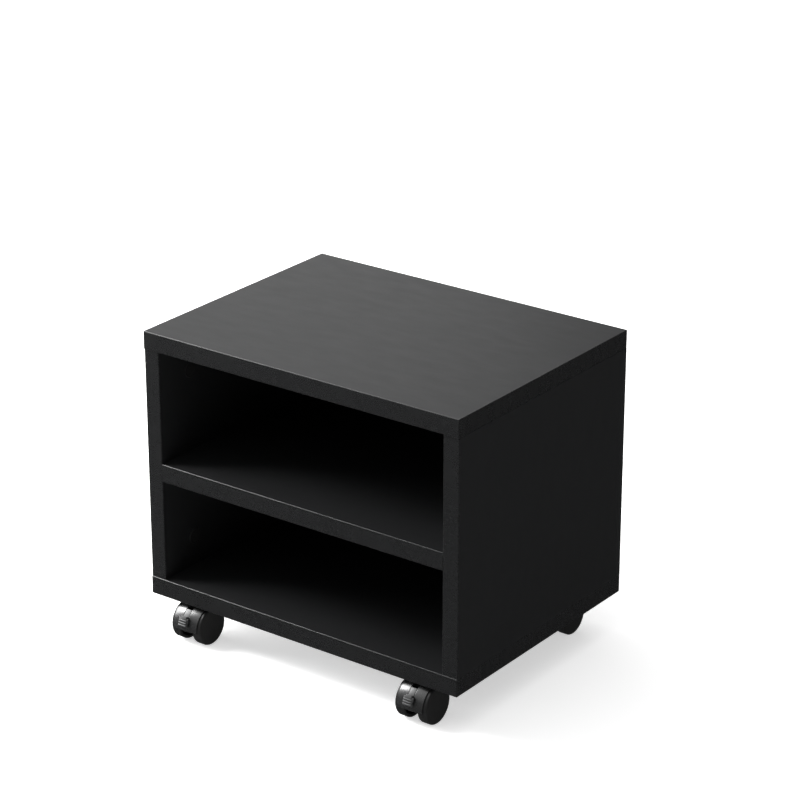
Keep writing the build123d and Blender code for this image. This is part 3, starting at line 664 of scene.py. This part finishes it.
def wheel_mesh():
    """One dished wheel, its plain outer face towards +X, ribs and hub inside."""
    web, inner_edge, fillet = WEB_FACE, 1 * MM, 0.6 * MM
    shoulder_x, shoulder_r = OUTER_FACE - SHOULDER, WHEEL_RADIUS - SHOULDER
    outline = [(OUTER_FACE, 0), (OUTER_FACE, 0.35 * shoulder_r), (OUTER_FACE, 0.8 * shoulder_r)]
    outline += arc((shoulder_x, shoulder_r), SHOULDER, 0, 90, 10)
    outline += [(INNER_FACE + 3 * MM, WHEEL_RADIUS), (INNER_FACE + 1.6 * MM, WHEEL_RADIUS)]
    outline += arc((INNER_FACE + inner_edge, WHEEL_RADIUS - inner_edge), inner_edge, 90, 180, 6)
    outline += arc((INNER_FACE + EASE, RIM + EASE), EASE, 180, 270, 3)
    outline += [(INNER_FACE + 2 * MM, RIM), (web - 1.6 * MM, RIM)]
    outline += arc((web - fillet, RIM - fillet), fillet, 90, 0, 4)
    outline += [(web, RIM - 2 * MM), (web, HUB + 1.6 * MM)]
    outline += arc((web - fillet, HUB + fillet), fillet, 0, -90, 4)
    outline += arc((INNER_FACE + EASE, HUB - EASE), EASE, 90, 180, 3)
    bore, bottom, cone = AXLE + 0.05 * MM, OUTER_FACE - 3 * MM, 0.2 * MM
    outline += arc((INNER_FACE + EASE, bore + EASE), EASE, 180, 270, 3)
    outline += [(OUTER_FACE - 3.2 * MM, bore), (bottom, bore - cone), (bottom, 0)]
    steps = zip(outline, outline[1:])
    clean = outline[:1] + [q for p, q in steps if hypot(q[0] - p[0], q[1] - p[1]) > MICRON]
    body = outwards(lathe(clean, 128))
    low, high, sunk = INNER_FACE + 3.8 * MM, web + 0.4 * MM, 0.5 * MM  # rib ends, and their roots
    values = {"Inner": HUB - sunk, "Outer": RIM + sunk, "Depth": high - low}
    values.update({"Thickness": 1.4 * MM, "Count": 6, "Material": FINISHES["caster_wheel"]})
    ribs = rounded(RIBS.grown([((low + high) / 2, 0, 0)], **values), EASE, 2)
    return joined(body, ribs)


def ridge_model():
    """A round-ended ridge along X."""
    half = TAB_HALF - RIDGE_MARGIN
    outline = arc((-half + RIDGE, 0), RIDGE, 180, 90, 6) + arc((half - RIDGE, 0), RIDGE, 90, 0, 6)
    return outwards(lathe([(x, max(r, 0)) for x, r in outline], 24))


def lever_mesh():
    """The brake lever: arm in the slot, ridged thumb tab, boss on the pin, and the shoe."""
    arm_inner, tab_inner = HOOD_OUTER - ARM_DEPTH, HOOD_OUTER + TAB_GAP
    tab_outer = tab_inner + TAB_THICKNESS
    pivot = ahead(PIVOT_DISTANCE, PIVOT_ANGLE)
    shoe = (pivot[0] + SHOE_BACK, pivot[1] + SHOE_UP)

    def strip(inner, outer, low, high, half_width, steps=16):
        angles = [low + (high - low) * k / steps for k in range(steps + 1)]
        outline = [ahead(outer, a) for a in angles] + [ahead(inner, a) for a in reversed(angles)]
        return prism(outline, half_width)

    middle = (arm_inner + HOOD_OUTER) / 2
    plate = hull(circle(pivot, PIN_BOSS), [ahead(middle, ARM_LOW + 1), ahead(middle, ARM_HIGH - 1)])
    holder = hull(circle(pivot, SHOE_BOSS), circle(shoe, SHOE_BOSS))
    parts = [rounded(prism(outline, LEVER_HALF), EASE, 2) for outline in (plate, holder)]
    arm = strip(arm_inner, HOOD_OUTER, ARM_LOW, ARM_HIGH, LEVER_HALF)
    neck = strip(arm_inner, tab_outer, NECK_LOW, NECK_HIGH, LEVER_HALF)
    parts += [rounded(arm, ARM_EASE, 4), rounded(neck, ARM_EASE, 4)]
    tab = strip(tab_inner, tab_outer - PLATE_SINK, TAB_LOW, TAB_HIGH, TAB_HALF)
    parts.append(rounded(tab, TAB_EASE, 4))
    ridges = [(0, *ahead(tab_outer - RIDGE_SINK, angle)) for angle in RIDGE_ANGLES]
    lender = model_object("ridge_model", ridge_model())
    values = {"Model": lender, "Turn": 0.0, "Material": FINISHES["brake_lever"]}
    parts.append(FASTENERS.grown(ridges, [(0, 0, 1)] * len(ridges), **values))
    bpy.data.objects.remove(lender)
    outline = [(-SHOE_HALF, 0), (-SHOE_HALF, SHOE - EASE), (-SHOE_HALF + EASE, SHOE)]
    outline += [(-x, r) for x, r in reversed(outline)]
    parts.append(moved(outwards(lathe(outline, 24)), Matrix.Translation((0, *shoe))))
    return joined(*parts)


RIBS = rib_ring_pattern()
FASTENERS = fastener_pattern()
HOODS = {"front": hood_mesh(True), "rear": hood_mesh(False)}
WHEEL = wheel_mesh()
LEVER = lever_mesh()
MIRROR = Matrix.Diagonal((-1, 1, 1, 1))

for end in ("front", "rear"):
    for hand in ("left", "right"):
        name = f"{end}_{hand}"
        low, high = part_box(f"{name}_wheel_right")
        left_low, left_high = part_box(f"{name}_wheel_left")
        axle = Vector(((left_low.x + high.x) / 2, (low.y + high.y) / 2, (low.z + high.z) / 2))
        place = Matrix.Translation(axle)
        hood = moved(HOODS[end], place)
        piece(f"{name}_hood_moulding", hood, f"{name}_swivel", "caster_hood", f"{name}_hood")
        for side, turn in (("right", Matrix.Identity(4)), ("left", MIRROR)):
            wheel = moved(WHEEL, place @ turn)
            body = f"{name}_wheel_{side}"
            piece(f"{body}_moulding", wheel, body, "caster_wheel", body)
        if end == "front":
            lever = moved(LEVER, place)
            piece(f"{name}_lever_moulding", lever, f"{name}_brake", "brake_lever", f"{name}_brake_lever")


# ================================================================ small fittings
def islands(node):
    """The box of each separate solid in a CAD node, as (lowest corner, highest corner)."""
    work = bmesh.new()
    work.from_mesh(frame["nodes"][node].data)
    bmesh.ops.remove_doubles(work, verts=work.verts, dist=MICRON)
    left, boxes = set(work.verts), []
    while left:
        front, found = [left.pop()], []
        while front:
            vertex = front.pop()
            found.append(vertex.co.copy())
            for edge in vertex.link_edges:
                other = edge.other_vert(vertex)
                if other in left:
                    left.remove(other)
                    front.append(other)
        low = Vector([min(c[k] for c in found) for k in range(3)])
        high = Vector([max(c[k] for c in found) for k in range(3)])
        boxes.append((low, high))
    work.free()
    return sorted(boxes, key=lambda box: tuple(round(v, 5) for v in box[0]))


def screw_model():
    """A countersunk screw along -Z with its head's face at 0, a cross recess and a thread."""
    length, head, radius, root = 32 * MM, 2.6 * MM, 2 * MM, 1.45 * MM
    pitch, start, point, per_turn = 1.8 * MM, 9 * MM, 3 * MM, 16
    outline = [(0, 0), (0, 2.2 * MM), (0, 3.8 * MM), (-0.15 * MM, 3.98 * MM), (-head, radius * 0.98)]
    outline += [(-start + 0.4 * MM, radius * 0.9), (-start, root), (point - length, root), (-length, 0)]
    shank = moved(outwards(lathe(outline, 32)), Matrix.Rotation(-pi / 2, 4, "Y"))
    turns, rows = int((length - start - 1.2 * point) / pitch), []
    count = turns * per_turn
    for k in range(count + 1):
        a, z = 2 * pi * k / per_turn, -start - pitch * k / per_turn
        grip = min(1.0, k / 8, (count - k) / 8)
        crest = root - 0.05 * MM + (radius - root) * grip
        inside, foot, tip = root - 0.15 * MM, 0.42 * MM, 0.06 * MM
        ridge = [(inside, z + foot), (crest, z + tip), (crest, z - tip), (inside, z - foot)]
        rows.append([(r * cos(a), r * sin(a), h) for r, h in ridge])
    points = [p for row in rows for p in row]
    faces = []
    for k in range(count):
        for j in range(4):
            n = (j + 1) % 4
            faces.append((4 * k + j, 4 * k + n, 4 * k + 4 + n, 4 * k + 4 + j))
    faces += [(3, 2, 1, 0), tuple(4 * count + j for j in range(4))]
    thread = outwards(mesh_of("thread", points, faces))
    arm, half, depth = 2.2 * MM, 0.45 * MM, 1.6 * MM
    ring = [(arm, half), (half, half), (half, arm), (-half, arm), (-half, half), (-arm, half)]
    ring += [(-x, -y) for x, y in ring]
    top = [(x, y, 0.4 * MM) for x, y in ring]
    low = [(x * 0.7, y * 0.7, -depth) for x, y in ring]
    sides = [(k, (k + 1) % 12, 12 + (k + 1) % 12, 12 + k) for k in range(12)]
    ends = [tuple(range(12))[::-1], tuple(range(12, 24))]
    cross = outwards(mesh_of("cross", top + low, sides + ends))
    return joined(cut(shank, cross), thread)


CAP_THICKNESS = 1.2 * MM


def cap_model():
    """A push-in cover along Z: a thin domed disc with a lip, a small pry notch, and its stud."""
    radius, thick = 9 * MM, CAP_THICKNESS
    outline = [(-1.6 * MM, 0), (-1.6 * MM, 2.0 * MM), (-1.2 * MM, 2.3 * MM), (0, 2.3 * MM)]
    outline += [(0, radius - 0.15 * MM), (0.12 * MM, radius)]
    lip, rise = 0.75 * MM, thick - 0.22 * MM
    outline += arc((thick - lip, radius - lip), lip, 90, 25, 6)
    outline += [(rise, radius - 1.15 * MM), (rise - 0.08 * MM, radius - 1.6 * MM)]
    outline.append((rise - 0.02 * MM, radius - 2.1 * MM))
    outline += [(thick - 0.10 * MM, 0.5 * radius), (thick - 0.02 * MM, 0.2 * radius), (thick, 0)]
    cap = outwards(moved(outwards(lathe(outline, 56)), Matrix.Rotation(-pi / 2, 4, "Y")))
    foot, brow = -0.3 * MM, 0.55 * MM
    outline = [(-1.3 * MM, foot), (1.3 * MM, foot), (1.0 * MM, brow), (-1.0 * MM, brow)]
    return cut(cap, outwards(prism(outline, 0.8 * MM, radius)))


def fittings(name, node, slot, model, places, turn):
    """One piece with a model at each (point, facing)."""
    lender = model_object(f"{name}_model", model)
    values = {"Model": lender, "Turn": turn, "Material": FINISHES[slot]}
    mesh = FASTENERS.grown([p for p, n in places], [n for p, n in places], **values)
    bpy.data.objects.remove(lender)
    return piece(name, mesh, "cabinet", slot, node)


screws = []
for low, high in islands("back_panel_screws"):
    middle = (low + high) / 2
    screws.append(((middle.x, high.y, middle.z), (0, 1, 0)))
fittings("countersunk_screws", "back_panel_screws", "black_screw", screw_model(), screws, 0.6)

side_caps = []
for low, high in islands("side_cam_caps"):
    middle, inwards = (low + high) / 2, -1 if low.x > 0 else 1
    face = (low.x if inwards < 0 else high.x) - inwards * CAP_THICKNESS
    side_caps.append(((face, middle.y, middle.z), (inwards, 0, 0)))
shelf_caps = []
for low, high in islands("shelf_cam_caps"):
    middle = (low + high) / 2
    shelf_caps.append(((middle.x, middle.y, low.z + CAP_THICKNESS), (0, 0, -1)))
fittings("side_cam_covers", "side_cam_caps", "cap_plastic", cap_model(), side_caps, 0.4)
fittings("shelf_cam_covers", "shelf_cam_caps", "cap_plastic", cap_model(), shelf_caps, 1.9)

# ================================================================ CAD pieces that stay
slots = {row["node"]: row["material_slot"] for row in frame["record"]["subparts"]}
for node, item in frame["nodes"].items():
    item.data.materials.clear()
    item.data.materials.append(FINISHES[slots[node]])


# ================================================================ studio
SKY_TILT = (-0.24, -0.08, 0.96)
SKY_STOPS = ((0.20, 0.03), (0.42, 0.04), (0.54, 0.10), (0.70, 0.14), (1.0, 1.0))
SKY_GAIN = 1.3
FLOOR_HALF = 30.0
LIGHTS = (  # name, place, aim, size in metres, and power in watts
    ("sky_behind", (-1.5, 1.55, 1.1), (-0.1, 0, 0.3), (1.2, 0.8), 4),
    ("key_above_left", (-1.45, -0.78, 1.6), (0, 0, 0.2), (0.6, 0.6), 26),
    ("panel_left", (-1.75, -0.5, 0.85), (0, -0.1, 0.1), (1.1, 1.3), 62),
)
CAMERA_PLACE = (1.6758, -2.2321, 1.4158)
AZIMUTH, ELEVATION = radians(36.502), radians(22.319)
LENS, SENSOR = 130.52, 36.0  # millimetres


def area_light(name, place, aim, size, power):
    """A rectangular soft light at a point, aimed at another."""
    data = bpy.data.lights.new(name, "AREA")
    data.shape, data.size, data.size_y = "RECTANGLE", size[0], size[1]
    data.energy = power
    item = bpy.data.objects.new(name, data)
    item.location = place
    item.rotation_euler = (Vector(aim) - Vector(place)).to_track_quat("-Z", "Y").to_euler()
    bpy.context.scene.collection.objects.link(item)


def pale_floor():
    """A wide plain floor, just under the wheels."""
    half = FLOOR_HALF
    corners = [(-half, -half, 0), (half, -half, 0), (half, half, 0), (-half, half, 0)]
    item = bpy.data.objects.new("floor", mesh_of("floor", corners, [(0, 1, 2, 3)]))
    finish = Finish("pale_floor", Roughness=0.9, Specular_IOR_Level=0.1, Emission_Strength=0.55)
    finish.shader.inputs["Base Color"].default_value = (0.93, 0.93, 0.93, 1)
    finish.shader.inputs["Emission Color"].default_value = (1, 1, 1, 1)
    item.data.materials.append(finish.material)
    bpy.context.scene.collection.objects.link(item)
    item.visible_glossy = False


def soft_sky():
    """White light from above that fades to the horizon and to the right, on a plain white backdrop."""
    world = bpy.data.worlds.new("soft_sky")
    bpy.context.scene.world = world
    world.use_nodes = True
    nodes, links = world.node_tree.nodes, world.node_tree.links
    nodes["Background"].inputs["Color"].default_value = (1, 1, 1, 1)
    spot = nodes.new("ShaderNodeTexCoord")
    tilt = nodes.new("ShaderNodeVectorMath")
    tilt.operation = "DOT_PRODUCT"
    tilt.inputs[1].default_value = SKY_TILT
    ramp = nodes.new("ShaderNodeValToRGB")
    Finish.lay_stops(ramp.color_ramp, SKY_STOPS)
    lift = nodes.new("ShaderNodeMapRange")
    lift.inputs["From Min"].default_value, lift.inputs["From Max"].default_value = -1.0, 1.0
    gain = nodes.new("ShaderNodeMath")
    gain.operation = "MULTIPLY"
    gain.inputs[1].default_value = SKY_GAIN
    links.new(spot.outputs["Generated"], tilt.inputs[0])
    links.new(tilt.outputs["Value"], lift.inputs["Value"])
    links.new(lift.outputs[0], ramp.inputs[0])
    links.new(ramp.outputs[0], gain.inputs[0])
    backdrop = nodes.new("ShaderNodeMath")
    backdrop.operation = "MAXIMUM"
    links.new(gain.outputs[0], backdrop.inputs[0])
    links.new(nodes.new("ShaderNodeLightPath").outputs["Is Camera Ray"], backdrop.inputs[1])
    links.new(backdrop.outputs[0], nodes["Background"].inputs["Strength"])


def studio_camera():
    """The camera, looking along its azimuth and down by its elevation."""
    lens = bpy.data.cameras.new("camera")
    lens.lens, lens.sensor_width = LENS, SENSOR
    camera = bpy.data.objects.new("camera", lens)
    camera.location = CAMERA_PLACE
    level = cos(ELEVATION)
    back = Vector((sin(AZIMUTH) * level, -cos(AZIMUTH) * level, sin(ELEVATION)))
    camera.rotation_euler = back.to_track_quat("Z", "Y").to_euler()
    bpy.context.scene.collection.objects.link(camera)
    return camera


pale_floor()
soft_sky()
for light in LIGHTS:
    area_light(*light)
scene = bpy.context.scene
scene.camera = studio_camera()
scene.view_settings.view_transform = "Standard"
